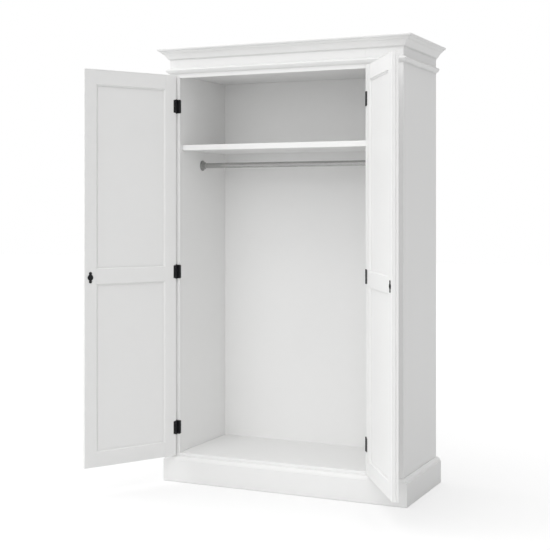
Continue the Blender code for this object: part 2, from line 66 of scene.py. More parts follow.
def boxOf(node, body="carcass"):
    # lowest and highest corner of a node, with its door shut
    mesh = frame["nodes"][node].data
    spots = np.empty(len(mesh.vertices) * 3, np.float32)
    mesh.vertices.foreach_get("co", spots)
    spots = spots.reshape(-1, 3).astype(float)
    if body in jointOf:
        spots = swing(spots, body, shutTurn(body))
    return spots.min(0), spots.max(0)


# Meshes from arrays

def gridQuads(rows, columns, wrap=True):
    # quad (i, j) joins columns j and j + 1 of rows i and i + 1; the last column meets the first
    i, j = np.meshgrid(np.arange(rows - 1), np.arange(columns if wrap else columns - 1), indexing="ij")
    k = (j + 1) % columns
    quads = np.stack([i * columns + j, i * columns + k, (i + 1) * columns + k, (i + 1) * columns + j], -1)
    return quads.reshape(-1, 4)


def closedLoft(rings):
    # rings of points (rows, columns, 3), closed round each ring and capped at both ends
    rows, columns = rings.shape[:2]
    caps = [list(range(columns))[::-1], list(range((rows - 1) * columns, rows * columns))]
    return rings.reshape(-1, 3), gridQuads(rows, columns).tolist() + caps


def joined(shapes):
    # several (points, faces) as one, the faces renumbered
    points, faces, start = [], [], 0
    for spots, sides in shapes:
        points.append(spots)
        faces += [[start + k for k in side] for side in sides]
        start += len(spots)
    return np.concatenate(points), faces


def unit(vectors):
    # each vector over its own length
    return vectors / np.maximum(np.linalg.norm(vectors, axis=-1, keepdims=True), 1e-12)


def softCorners(corners, radius, steps=4):
    # each corner becomes an arc: centre = corner + bisector * radius / sin(half angle),
    # swept from one tangent point to the other; the weight is highest half way round
    corner = np.asarray(corners, float)
    radius = np.broadcast_to(np.asarray(radius, float), len(corner))[:, None]
    back = unit(np.roll(corner, 1, 0) - corner)
    onward = unit(np.roll(corner, -1, 0) - corner)
    bisector = unit(back + onward)
    half = np.arccos(np.clip((back * bisector).sum(-1, keepdims=True), -1, 1))
    centre = corner + bisector * radius / np.sin(half)
    start = corner + back * radius / np.tan(half) - centre
    end = corner + onward * radius / np.tan(half) - centre
    sweep = (np.pi - 2 * half)[:, None]
    share = np.linspace(0, 1, steps + 1)[None, :, None]
    arc = (start[:, None] * np.sin((1 - share) * sweep) + end[:, None] * np.sin(share * sweep))
    arc = arc / np.maximum(np.sin(sweep), 1e-9)
    spots = (centre[:, None] + arc).reshape(-1, 2)
    weight = (np.sin(np.pi * share) * (radius[:, None] > 0)).reshape(-1)
    keep = np.linalg.norm(spots - np.roll(spots, 1, 0), axis=1) > 1e-7
    return spots[keep], weight[keep]


def drawnIn(outline, distance):
    # every point moves inwards along its mitre; the outline runs anticlockwise
    before = unit(outline - np.roll(outline, 1, 0))
    after = unit(np.roll(outline, -1, 0) - outline)
    inward = unit(np.stack([-(before + after)[:, 1], (before + after)[:, 0]], -1))
    stretch = 1 / np.maximum((inward * np.stack([-before[:, 1], before[:, 0]], -1)).sum(-1), 0.3)
    return outline[None] + distance[:, None, None] * (inward * stretch[:, None])[None]


def slab(outline, weight, low, high, radius, plane, steps=3):
    # the outline, drawn in by r (1 - sin t) while it climbs by r (1 - cos t), t from 0 to 90 degrees,
    # at each face. plane gives the axes of the outline's two coordinates and of its height.
    turn = np.linspace(0, np.pi / 2, steps + 1)
    inset = radius * (1 - np.sin(turn))
    climb = radius * (1 - np.cos(turn))
    height = np.concatenate([low + climb, (high - climb)[::-1]])
    flat = drawnIn(outline, np.concatenate([inset, inset[::-1]]))
    rings = np.empty(flat.shape[:2] + (3,))
    rings[..., plane[0]] = flat[..., 0]
    rings[..., plane[1]] = flat[..., 1]
    rings[..., plane[2]] = height[:, None]
    rowWeight = np.sin(2 * turn)
    arris = np.maximum(np.concatenate([rowWeight, rowWeight[::-1]])[:, None], weight[None])
    arris[[0, -1]] = 0
    points, faces = closedLoft(rings)
    return points, faces, arris.reshape(-1)


def turned(profile, steps=32, closed=False):
    # (radius, height) turned round Z: x = r cos t, y = r sin t. Ends on the axis close by merging
    profile = np.asarray(profile, float)
    turn = np.linspace(0, 2 * np.pi, steps, endpoint=False)
    radius, height = profile[:, 0][:, None], profile[:, 1][:, None]
    rings = np.stack([radius * np.cos(turn), radius * np.sin(turn), height + 0 * turn], -1)
    if closed:
        rings = np.concatenate([rings, rings[:1]])
    return rings.reshape(-1, 3), gridQuads(len(rings), steps).tolist()


def arcPoints(centre, radii, first, last, steps):
    # points of an ellipse quarter or arc, from the first angle to the last, in degrees
    turn = np.radians(np.linspace(first, last, steps))
    return np.stack([centre[0] + radii[0] * np.cos(turn), centre[1] + radii[1] * np.sin(turn)], -1)


def putInScene(name, data):
    # an object for the data, linked to the scene
    thing = bpy.data.objects.new(name, data)
    bpy.context.scene.collection.objects.link(thing)
    return thing


meshLook = {"sharpAngle": 35, "mergeDistance": 1e-6}


def makePiece(name, shape, finish, body="carcass", stands=(), grain=2, sharp=meshLook["sharpAngle"]):
    # shape is (points, faces) or (points, faces, arris weights). It goes in a mesh, a door's piece is
    # swung open, the piece is parented to its body's empty, and the nodes it stands for are hidden
    points, faces = shape[0], shape[1]
    arris = shape[2] if len(shape) > 2 else np.zeros(len(points))
    order = [grain] + [axis for axis in range(3) if axis != grain]
    along = points[:, order]
    if body in jointOf:
        points = swing(points, body, -shutTurn(body))
    mesh = bpy.data.meshes.new(name)
    mesh.from_pydata(points.tolist(), [], faces)
    mesh.attributes.new("boardPlace", "FLOAT_VECTOR", "POINT").data.foreach_set("vector", along.ravel())
    mesh.attributes.new("arris", "FLOAT", "POINT").data.foreach_set("value", arris.astype(np.float32))
    work = bmesh.new()
    work.from_mesh(mesh)
    bmesh.ops.remove_doubles(work, verts=work.verts, dist=meshLook["mergeDistance"])
    bmesh.ops.dissolve_degenerate(work, edges=work.edges, dist=meshLook["mergeDistance"])
    bmesh.ops.recalc_face_normals(work, faces=work.faces)
    work.to_mesh(mesh)
    work.free()
    mesh.materials.append(finish["material"])
    mesh.shade_smooth()
    mesh.set_sharp_from_angle(angle=math.radians(sharp))
    piece = putInScene(name, mesh)
    weighted = piece.modifiers.new("even shading", "WEIGHTED_NORMAL")
    weighted.keep_sharp = True
    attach(piece, body)
    if stands:
        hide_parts(*stands)
    return piece


# Sockets and nodes

def plug(tree, socket, value):
    # links a socket, or sets a plain value
    if isinstance(value, bpy.types.NodeSocket):
        tree.links.new(value, socket)
    else:
        socket.default_value = value


def plugAll(tree, sockets, **values):
    # by name, with an underscore for each space
    for label, value in values.items():
        plug(tree, sockets[label.replace("_", " ")], value)


def addNode(tree, kind, **values):
    # a node, its settings, and its inputs by name, or by number after an i
    node = tree.nodes.new("ShaderNode" + kind)
    for key, value in values.items():
        if hasattr(node, key):
            setattr(node, key, value)
            continue
        place = int(key[1:]) if key[0] == "i" and key[1:].isdigit() else key.replace("_", " ")
        plug(tree, node.inputs[place], value)
    return node


def mathNode(tree, operation, a, b=0.0, c=0.0):
    # one sum of up to three numbers or sockets
    return addNode(tree, "Math", operation=operation, i0=a, i1=b, i2=c).outputs[0]


def times(tree, a, b):
    return mathNode(tree, "MULTIPLY", a, b)


def minus(tree, a, b):
    return mathNode(tree, "SUBTRACT", a, b)


def timesPlus(tree, a, b, c):
    return mathNode(tree, "MULTIPLY_ADD", a, b, c)


def scaled(tree, colour, level):
    # the colour times a level
    return addNode(tree, "VectorMath", operation="SCALE", i0=colour, Scale=level).outputs[0]


def stretched(tree, vector, scale):
    # the vector times a scale on each axis
    return addNode(tree, "Mapping", Vector=vector, Scale=scale).outputs[0]


def noise(tree, vector, scale, detail=2.0, rough=0.5):
    # from 0 to 1, mostly near a half
    node = addNode(tree, "TexNoise", Vector=vector, Scale=scale, Detail=detail, Roughness=rough)
    return node.outputs[0]


# Shader groups, each built once

def newGroup(name, inputs, outputs):
    # an empty group with its sockets, and its two ends
    group = bpy.data.node_groups.new(name, "ShaderNodeTree")
    for label, kind, value in inputs:
        socket = group.interface.new_socket(name=label, in_out="INPUT", socket_type="NodeSocket" + kind)
        if value is not None:
            socket.default_value = value
    for label, kind in outputs:
        group.interface.new_socket(name=label, in_out="OUTPUT", socket_type="NodeSocket" + kind)
    return group, group.nodes.new("NodeGroupInput").outputs, group.nodes.new("NodeGroupOutput").inputs


def paintFilmGroup():
    # sprayed and flatted paint: slow drift of tone, orange peel, faint lines along the board
    tree, given, out = newGroup("paintFilm", [
        ("Vector", "Vector", None), ("Board Place", "Vector", None), ("Arris", "Float", 0.0),
        ("Colour", "Color", (0.8, 0.8, 0.8, 1)), ("Roughness", "Float", 0.4), ("Tone Drift", "Float", 0.02),
        ("Peel Depth", "Float", 0.5), ("Line Depth", "Float", 0.3)],
        [("Colour", "Color"), ("Roughness", "Float"), ("Height", "Float")])
    drift = noise(tree, given["Vector"], 2.3, 3.0)
    cloud = noise(tree, given["Vector"], 21.0, 2.0)
    peel = noise(tree, given["Vector"], 700.0, 1.0, 0.4)
    lines = noise(tree, stretched(tree, given["Board Place"], (5.0, 420.0, 420.0)), 1.0, 3.0, 0.6)
    shade = timesPlus(tree, drift, 0.7, times(tree, cloud, 0.3))
    shade = times(tree, minus(tree, shade, 0.5), given["Tone Drift"])
    gloss = timesPlus(tree, minus(tree, cloud, 0.5), 0.12, given["Roughness"])
    worn = times(tree, given["Arris"], 0.06)
    level = mathNode(tree, "ADD", 1.0, minus(tree, shade, times(tree, worn, 0.25)))
    plugAll(tree, out, Colour=scaled(tree, given["Colour"], level), Roughness=minus(tree, gloss, worn),
            Height=timesPlus(tree, lines, given["Line Depth"], times(tree, peel, given["Peel Depth"])))
    return tree


def brushedMetalGroup():
    # fine lines along the piece, with a slow change of gloss
    tree, given, out = newGroup("brushedMetal", [
        ("Board Place", "Vector", None), ("Colour", "Color", (0.5, 0.5, 0.5, 1)), ("Roughness", "Float", 0.3),
        ("Line Depth", "Float", 0.5), ("Line Tone", "Float", 0.1)],
        [("Colour", "Color"), ("Roughness", "Float"), ("Height", "Float")])
    lines = noise(tree, stretched(tree, given["Board Place"], (9.0, 2600.0, 2600.0)), 1.0, 3.0, 0.7)
    slow = noise(tree, given["Board Place"], 14.0, 2.0)
    centred = minus(tree, lines, 0.5)
    level = timesPlus(tree, centred, given["Line Tone"], 1.0)
    gloss = timesPlus(tree, centred, 0.18, given["Roughness"])
    plugAll(tree, out, Colour=scaled(tree, given["Colour"], level),
            Roughness=timesPlus(tree, minus(tree, slow, 0.5), 0.12, gloss),
            Height=times(tree, lines, given["Line Depth"]))
    return tree


def japannedIronGroup():
    # black lacquer over forged iron: hammered unevenness, pitting, lacquer rubbed thin at the arrises
    tree, given, out = newGroup("japannedIron", [
        ("Vector", "Vector", None), ("Arris", "Float", 0.0), ("Lacquer", "Color", (0.01, 0.01, 0.01, 1)),
        ("Iron", "Color", (0.2, 0.2, 0.2, 1)), ("Wear", "Float", 0.3), ("Roughness", "Float", 0.4)],
        [("Colour", "Color"), ("Roughness", "Float"), ("Metallic", "Float"), ("Height", "Float")])
    hammered = noise(tree, given["Vector"], 260.0, 2.0, 0.5)
    pitting = noise(tree, given["Vector"], 1900.0, 2.0, 0.6)
    rubbed = times(tree, times(tree, given["Arris"], given["Wear"]), times(tree, hammered, 1.6))
    rubbed = addNode(tree, "Clamp", Value=rubbed).outputs[0]
    mixed = addNode(tree, "Mix", data_type="RGBA", i0=rubbed, i6=given["Lacquer"], i7=given["Iron"])
    plugAll(tree, out, Colour=mixed.outputs[2], Metallic=times(tree, rubbed, 0.9),
            Roughness=timesPlus(tree, minus(tree, pitting, 0.5), 0.3, given["Roughness"]),
            Height=timesPlus(tree, pitting, 0.25, hammered))
    return tree


def footDarkeningGroup():
    # a faint greying close to the floor, broken up by noise: 1 above the given height, less below it
    tree, given, out = newGroup("footDarkening", [
        ("Vector", "Vector", None), ("Colour", "Color", (0.8, 0.8, 0.8, 1)), ("Darkening Height", "Float", 0.04),
        ("Amount", "Float", 0.05)], [("Colour", "Color")])
    up = addNode(tree, "SeparateXYZ", Vector=given["Vector"]).outputs[2]
    near = minus(tree, 1.0, mathNode(tree, "DIVIDE", up, given["Darkening Height"]))
    near = addNode(tree, "Clamp", Value=near).outputs[0]
    broken = noise(tree, stretched(tree, given["Vector"], (14.0, 14.0, 60.0)), 1.0, 4.0, 0.65)
    level = minus(tree, 1.0, times(tree, times(tree, near, broken), given["Amount"]))
    plugAll(tree, out, Colour=scaled(tree, given["Colour"], level))
    return tree


groups = {
    "paint": paintFilmGroup(),
    "brushed": brushedMetalGroup(),
    "iron": japannedIronGroup(),
    "footDarkness": footDarkeningGroup(),
}


# Materials

def newMaterial(name):
    # a material with its own tree and its shader
    material = bpy.data.materials.new(name)
    material.use_nodes = True
    tree = material.node_tree
    return material, tree, tree.nodes["Principled BSDF"]


def useGroup(tree, key, **inputs):
    # places a group in a material, with its own values or links
    node = tree.nodes.new("ShaderNodeGroup")
    node.node_tree = groups[key]
    plugAll(tree, node.inputs, **inputs)
    return node.outputs


def roughen(tree, shader, height, distance):
    # turns a height into the shader's normal
    bump = addNode(tree, "Bump", Strength=1.0, Distance=distance, Height=height)
    tree.links.new(bump.outputs[0], shader.inputs["Normal"])


def paintMaterial(name, values):
    # paint film over the whole board, greyed a little near the floor
    material, tree, shader = newMaterial(name)
    place = addNode(tree, "TexCoord").outputs["Object"]
    board = addNode(tree, "Attribute", attribute_name="boardPlace").outputs["Vector"]
    arris = addNode(tree, "Attribute", attribute_name="arris").outputs["Fac"]
    film = useGroup(tree, "paint", Vector=place, Board_Place=board, Arris=arris,
                    Colour=(*values["colour"], 1), Roughness=values["roughness"],
                    Tone_Drift=values["toneDrift"], Peel_Depth=values["peel"], Line_Depth=values["lines"])
    foot = useGroup(tree, "footDarkness", Vector=place, Colour=film["Colour"], Amount=values["footDarkness"])
    plugAll(tree, shader.inputs, Base_Color=foot["Colour"], Roughness=film["Roughness"], IOR=1.45,
            Specular_IOR_Level=values["sheen"])
    roughen(tree, shader, film["Height"], values["bump"])
    return material


def ironMaterial(name, values):
    # lacquered iron, metallic only where the lacquer is rubbed thin
    material, tree, shader = newMaterial(name)
    place = addNode(tree, "TexCoord").outputs["Object"]
    arris = addNode(tree, "Attribute", attribute_name="arris").outputs["Fac"]
    skin = useGroup(tree, "iron", Vector=place, Arris=arris, Lacquer=(*values["lacquer"], 1),
                    Iron=(*values["iron"], 1), Wear=values["wear"], Roughness=values["roughness"])
    plugAll(tree, shader.inputs, Base_Color=skin["Colour"], Roughness=skin["Roughness"],
            Metallic=skin["Metallic"], Specular_IOR_Level=values["sheen"])
    roughen(tree, shader, skin["Height"], values["bump"])
    return material


def steelMaterial(name, values):
    # brushed steel, its lines along the piece
    material, tree, shader = newMaterial(name)
    board = addNode(tree, "Attribute", attribute_name="boardPlace").outputs["Vector"]
    skin = useGroup(tree, "brushed", Board_Place=board, Colour=(*values["colour"], 1),
                    Roughness=values["roughness"], Line_Depth=values["lines"], Line_Tone=values["lineTone"])
    plugAll(tree, shader.inputs, Base_Color=skin["Colour"], Roughness=skin["Roughness"], Metallic=1.0)
    roughen(tree, shader, skin["Height"], values["bump"])
    return material


paintLooks = {
    "casePaint": {"colour": (0.845, 0.845, 0.84), "roughness": 0.42, "toneDrift": 0.03, "peel": 0.5,
                  "lines": 0.35, "footDarkness": 0.05, "sheen": 0.4, "bump": 0.00006},
    "doorPaint": {"colour": (0.845, 0.845, 0.84), "roughness": 0.40, "toneDrift": 0.03, "peel": 0.5,
                  "lines": 0.45, "footDarkness": 0.0, "sheen": 0.4, "bump": 0.00006},
    # the inside paint is the white paint made lighter: painted light, for the brighter bounce light inside
    # the case; its roughness, peel and lines are its own
    "insidePaintWithPaintedLight": {"colour": (0.865, 0.865, 0.86), "roughness": 0.50, "toneDrift": 0.035, "peel": 0.7,
                    "lines": 0.25, "footDarkness": 0.0, "sheen": 0.35, "bump": 0.00006},
}
ironLooks = {"lacquer": (0.006, 0.006, 0.008), "iron": (0.07, 0.07, 0.075), "wear": 0.3,
             "roughness": 0.46, "sheen": 0.28, "bump": 0.00012}
screwLooks = {"lacquer": (0.010, 0.010, 0.011), "iron": (0.13, 0.13, 0.135), "wear": 0.6,
              "roughness": 0.36, "sheen": 0.35, "bump": 0.00006}
pinLooks = {"lacquer": (0.012, 0.012, 0.014), "iron": (0.17, 0.17, 0.175), "wear": 0.5,
            "roughness": 0.30, "sheen": 0.4, "bump": 0.00005}
railLooks = {"colour": (0.46, 0.46, 0.455), "roughness": 0.16, "lines": 0.6, "lineTone": 0.10,
             "bump": 0.00002}
flangeLooks = {"colour": (0.40, 0.40, 0.395), "roughness": 0.30, "lines": 0.4, "lineTone": 0.08,
               "bump": 0.00002}

finishes = {
    "case": {"slot": "white_paint", "material": paintMaterial("casePaint", paintLooks["casePaint"])},
    "door": {"slot": "white_paint", "material": paintMaterial("doorPaint", paintLooks["doorPaint"])},
    # the inside boards get the lighter copy of the white paint, which is painted light
    "inside": {"slot": "inside_paint", "material": paintMaterial("insidePaintWithPaintedLight", paintLooks["insidePaintWithPaintedLight"])},
    "iron": {"slot": "black_iron", "material": ironMaterial("japannedHingeIron", ironLooks)},
    "screw": {"slot": "black_iron", "material": ironMaterial("screwIron", screwLooks)},
    "pin": {"slot": "black_iron", "material": ironMaterial("hingePinIron", pinLooks)},
    "rail": {"slot": "brushed_steel", "material": steelMaterial("railSteel", railLooks)},
    "flange": {"slot": "brushed_steel", "material": steelMaterial("flangeSteel", flangeLooks)},
}
print("materials:", len(finishes))


# Boards

boards = {
    "arris": 0.0012, "corner": 0.0015, "frameArris": 0.0004, "frameCorner": 0.0005,
    "inside": ["left_side_lining", "right_side_lining", "ceiling_board", "shelf"],
    "frame": ["left_front_stile", "right_front_stile", "header_board"],
    "case": ["left_side_panel", "right_side_panel", "top_cover"],
    "along": {"header_board": 0, "top_cover": 0, "shelf": 0, "ceiling_board": 0},
    "backRecess": 0.0012,
}


def rectangle(lowU, lowV, highU, highV):
    # four corners, anticlockwise
    return [(lowU, lowV), (highU, lowV), (highU, highV), (lowU, highV)]


def boardShape(low, high, radius, corner):
    # a slab across its thinnest direction, so that every edge is round
    thin = int(np.argmin(high - low))
    u, v = [axis for axis in range(3) if axis != thin]
    outline, weight = softCorners(rectangle(low[u], low[v], high[u], high[v]), corner)
    return slab(outline, weight, low[thin], high[thin], radius, (u, v, thin))


def makeBoard(name, finish, arris="arris", corner="corner"):
    # a board with the node's own box
    low, high = boxOf(name)
    shape = boardShape(low, high, boards[arris], boards[corner])
    makePiece(name + "_painted", shape, finishes[finish], stands=[name], grain=boards["along"].get(name, 2))


def makeBackPanel():
    # set in a little from the back edges of the sides
    low, high = boxOf("back_panel")
    high[1] -= boards["backRecess"]
    shape = boardShape(low, high, boards["arris"] / 2, boards["corner"] / 2)
    makePiece("back_panel_painted", shape, finishes["inside"], stands=["back_panel"])


def makeFloorBoard():
    # reaches the front between the stiles and is notched behind them
    low, high = boxOf("floor_board")
    header = boxOf("header_board")
    stile = boxOf("left_front_stile")
    behind = stile[1][1] + gap
    left, right = header[0][0], header[1][0]
    outline = [(left, low[1]), (right, low[1]), (right, behind), (high[0], behind),
               (high[0], high[1]), (low[0], high[1]), (low[0], behind), (left, behind)]
    outline, weight = softCorners(outline, boards["corner"])
    shape = slab(outline, weight, low[2], high[2], boards["arris"], (0, 1, 2))
    makePiece("floor_board_painted", shape, finishes["inside"], stands=["floor_board"], grain=0)


for boardName in boards["inside"]:
    makeBoard(boardName, "inside")
for boardName in boards["case"]:
    makeBoard(boardName, "case")
for boardName in boards["frame"]:  # nearly square edges, so that the painted joints don't show
    makeBoard(boardName, "case", "frameArris", "frameCorner")
makeBackPanel()
makeFloorBoard()
print("boards made")


# Mouldings

mouldings = {
    "plinth": {"rise": 0.0165, "fillet": 0.0034, "lift": 0.0018, "undercut": 0.0040, "quirk": 0.0022,
               "softEdge": 0.0006},
    "neck": {"noseHeight": 0.0186, "nose": (0.0024, 0.0026), "swell": 0.0014, "quirk": 0.0027,
             "fall": ((0.0122, 0.0046), (0.0060, 0.0018))},
    "cornice": {"nose": (0.0092, 0.0088), "noseTop": 0.0030, "band": 0.0085, "quirk": 0.0018,
                "footQuirk": 0.0024, "topEdge": (0.0022, 0.0010, 0.0003),
                "angles": ((0.0, 0.12, 0.28, 1.0), (12, 38, 58, 31))},
}


def plinthProfile(out, height):
    # a low recess at the floor, a flat face, a small step in, a quarter ellipse, and a quirk at the case
    look = mouldings["plinth"]
    shoulder, inset, lift, quirk = height - look["rise"], look["fillet"], look["lift"], look["quirk"]
    root, soft = gap + quirk, look["softEdge"]
    top = arcPoints((root, shoulder), (out - inset - root, look["rise"] - 0.0004), 6, 86, 11)
    face = [(gap, 0.0), (out - look["undercut"], 0.0), (out - look["undercut"], lift), (out - soft, lift),
            (out, lift + soft), (out, shoulder - 0.0008), (out - 0.0004, shoulder - 0.0001),
            (out - inset, shoulder)]
    foot = [(root, height), (root - 0.0001, height - quirk), (gap, height - quirk)]
    return np.concatenate([face, top, foot])


def neckProfile(out, height):
    # a groove at the foot, a slope at 45 degrees that swells by swell * sin(pi s), a round nose, and a top
    # that falls outwards
    look = mouldings["neck"]
    wide, tall = look["nose"]
    share = np.linspace(0, 1, 10)
    quirk = look["quirk"]
    foot = [(gap, 0.0), (quirk, 0.0), (quirk, quirk * 0.4), (quirk * 0.4, quirk * 0.5),
            (quirk * 0.4, quirk * 1.2)]
    low = np.array([quirk * 1.3, quirk * 1.35])
    high = np.array([out - wide * 0.6, look["noseHeight"] - 0.0024])
    swell = look["swell"] * np.sin(np.pi * share)[:, None] * np.array([1, -1]) / math.sqrt(2)
    slope = low + (high - low) * share[:, None] + swell
    nose = arcPoints((out - wide, look["noseHeight"]), (wide, tall), -34, 58, 7)
    top = [(forward, height - drop) for forward, drop in look["fall"]] + [(gap, height)]
    return np.concatenate([foot, slope, nose, top])


def corniceProfile(out, height):
    # a groove at the foot, a long slope whose angle is read along its length, summed and stretched to its
    # chord, then a small step, a narrow band, another step, and a rounded nose under the top
    look = mouldings["cornice"]
    wide, tall = look["nose"]
    nose = arcPoints((out - wide, height - look["noseTop"]), (wide, tall), -64, 12, 10)
    step, band = look["quirk"], look["band"]
    bandTop = nose[0] - [step * 1.6, step * 0.6]
    bandFoot = bandTop - [band, band * 0.92]
    slopeTop = bandFoot - [step * 1.4, step * 1.1]
    share = np.linspace(0, 1, 19)
    angle = np.radians(np.interp(share, *look["angles"]))
    run = np.cumsum(np.stack([np.cos(angle), np.sin(angle)], -1), 0)
    run = (run - run[0]) / (run[-1] - run[0])
    quirk = look["footQuirk"]
    foot = [(gap, 0.0), (quirk * 1.5, 0.0), (quirk * 1.5, quirk * 0.5), (quirk * 0.6, quirk * 0.6),
            (quirk * 0.6, quirk * 1.5)]
    slopeFoot = np.array([quirk * 1.9, quirk * 1.6])
    slope = slopeFoot + run * (slopeTop - slopeFoot)
    bandSteps = [slopeTop + [0, step], bandFoot, (bandFoot + bandTop) / 2 + [-0.0004, 0.0004], bandTop,
                 bandTop + [0, step]]
    inEdge, outEdge, edgeDrop = look["topEdge"]
    top = [(out - outEdge, height - edgeDrop), (out - inEdge, height), (gap, height)]
    return np.concatenate([foot, slope, bandSteps, nose, top])


def makeMoulding(name, profile):
    # the profile (out, up) carried along the front and each side; its ends reach out by the profile's
    # own projection, which is the mitre
    low = boxOf(name + "_front")[0]
    halfWidth = boxOf("right_side_panel")[1][0]
    front = boxOf("left_front_stile")[0][1]
    back = boxOf("right_side_panel")[1][1]
    out, up = profile[:, 0], profile[:, 1] + low[2]
    ends = np.array([-1.0, 1.0])[:, None]
    rings = np.stack([ends * (halfWidth + out - gap), front - out + 0 * ends, up + 0 * ends], -1)
    arris = (np.tile(profileArris(profile), 2),)
    makePiece(name + "_front_painted", closedLoft(rings) + arris, finishes["case"],
              stands=[name + "_front"], grain=0)
    for side, label in ((-1, "_left"), (1, "_right")):
        near = np.stack([side * (halfWidth + out), front - out, up], -1)
        far = np.stack([side * (halfWidth + out), back + 0 * out, up], -1)
        makePiece(name + label + "_painted", closedLoft(np.stack([near, far])) + arris, finishes["case"],
                  stands=[name + label], grain=1)


def profileArris(profile):
    # how sharply the profile turns at each point, 0 where it runs straight and 1 at a square corner
    before = unit(profile - np.roll(profile, 1, 0))
    after = unit(np.roll(profile, -1, 0) - profile)
    turn = np.arccos(np.clip((before * after).sum(-1), -1, 1))
    return np.clip(turn / (np.pi / 3), 0, 1)


def mouldingSize(name):
    # how far the moulding stands out from the case, and its height
    low, high = boxOf(name + "_front")
    return boxOf("left_front_stile")[0][1] - low[1], high[2] - low[2]


makeMoulding("plinth", plinthProfile(*mouldingSize("plinth")))
makeMoulding("neck_moulding", neckProfile(*mouldingSize("neck_moulding")))
makeMoulding("cornice", corniceProfile(*mouldingSize("cornice")))
print("mouldings made")


# Doors, worked out shut: x across the door, y through it, z up

doorLooks = {
    "stickingWidth": 0.009, "stickingDepth": 0.0046, "quirk": 0.0010, "groove": 0.0018,
    "grooveDepth": 0.0012, "slotDepth": 0.0062, "edgeRadius": 0.0014, "panelEdge": (0.001, 0.0013),
    "tongueWidth": 0.010, "tongueThickness": 0.008, "tongueClearance": 0.0005, "beadGroove": (0.0026, 0.0016),
}


def stickingPoints():
    # (offset past the member's edge, depth below the face): a small step, a hollow quarter ellipse that
    # flattens towards the panel, a narrow groove and a fillet
    look = doorLooks
    width, depth, step, groove = look["stickingWidth"], look["stickingDepth"], look["quirk"], look["groove"]
    run, drop = width - groove * 1.7, depth - step - 0.0004
    turn = np.radians(np.linspace(6, 90, 8))
    curve = np.stack([run - (run - 0.0002) * np.cos(turn), step + drop * np.sin(turn)], -1)
    foot = [(run + 0.0001, depth + look["grooveDepth"]), (run + groove - 0.0001, depth + look["grooveDepth"]),
            (run + groove, depth), (width, depth), (width, look["slotDepth"]), (0.0, look["slotDepth"])]
    return np.concatenate([[(0.0, 0.0), (0.0, step * 0.9)], curve, foot])


def doorFaces(body):
    # y of the outer and the inner face
    low, high = boxOf(body + "_hinge_stile", body)
    return low[1], high[1]


def mouldedEdge(body):
    # offsets and y of the whole moulded edge, from the inner face through the groove to the outer face
    outer, inner = doorFaces(body)
    half = stickingPoints()
    offsets = np.concatenate([half[:, 0], half[::-1, 0]])
    through = np.concatenate([inner - half[:, 1], outer + half[::-1, 1]])
    return offsets, through


def railEdges(body):
    # the straight edges of each rail, without the sticking
    width = doorLooks["stickingWidth"]
    edges = {}
    for rail, below, above in (("bottom_rail", 0, width), ("lock_rail", width, width),
                               ("top_rail", width, 0)):
        low, high = boxOf(body + "_" + rail, body)
        edges[rail] = (low[2] + below, high[2] - above)
    return edges


def doorPlace(body):
    # side, hinge edge and free edge in X
    side = 1 if body == "left_door" else -1
    hinge = boxOf(body + "_hinge_stile", body)
    meeting = boxOf(body + "_meeting_stile", body)
    pick = (0, 1) if side == 1 else (1, 0)
    return side, hinge[pick[0]][0], meeting[pick[1]][0]


def plainEdge(u, body, direction, tongue):
    # the square edge of a stile, rounded, with the meeting rebate where there is one
    outer, inner = doorFaces(body)
    radius = doorLooks["edgeRadius"]
    width, thick = doorLooks["tongueWidth"], doorLooks["tongueThickness"]
    far = u - direction * 2 * width
    if tongue == 0:
        corners = [(far, outer), (u, outer), (u, inner), (far, inner)]
        rounding = [0, 1, 1, 0]
    else:
        # the inner part stops short on the right door, the outer part on the left one
        step = outer + thick + (doorLooks["tongueClearance"] if tongue < 0 else 0)
        outerEdge = u + direction * (0 if tongue > 0 else -width)
        innerEdge = u - direction * (width if tongue > 0 else 0)
        root, rootRounding = [(innerEdge, step)], [0.3]
        if tongue > 0:  # a fine groove beside the tongue
            deep, wide = doorLooks["beadGroove"]
            bottom = innerEdge - direction * deep
            root = [(bottom, step), (bottom, step + wide), (innerEdge, step + wide)]
            rootRounding = [0.2, 0.2, 0.3]
        corners = [(far, outer), (outerEdge, outer), (outerEdge, step)] + root
        corners += [(innerEdge, inner), (far, inner)]
        rounding = [0, 1, 0.7] + rootRounding + [1, 0]
    spots, weight = softCorners(corners, radius * np.array(rounding))
    keep = np.abs(spots[:, 0] - far) > 1e-6
    return spots[keep], weight[keep]


def doorPiece(body, part, shape, grain=2):
    # a painted piece in place of the door's node
    name = body + "_" + part
    makePiece(name + "_painted", shape, finishes["door"], body, [name], grain)


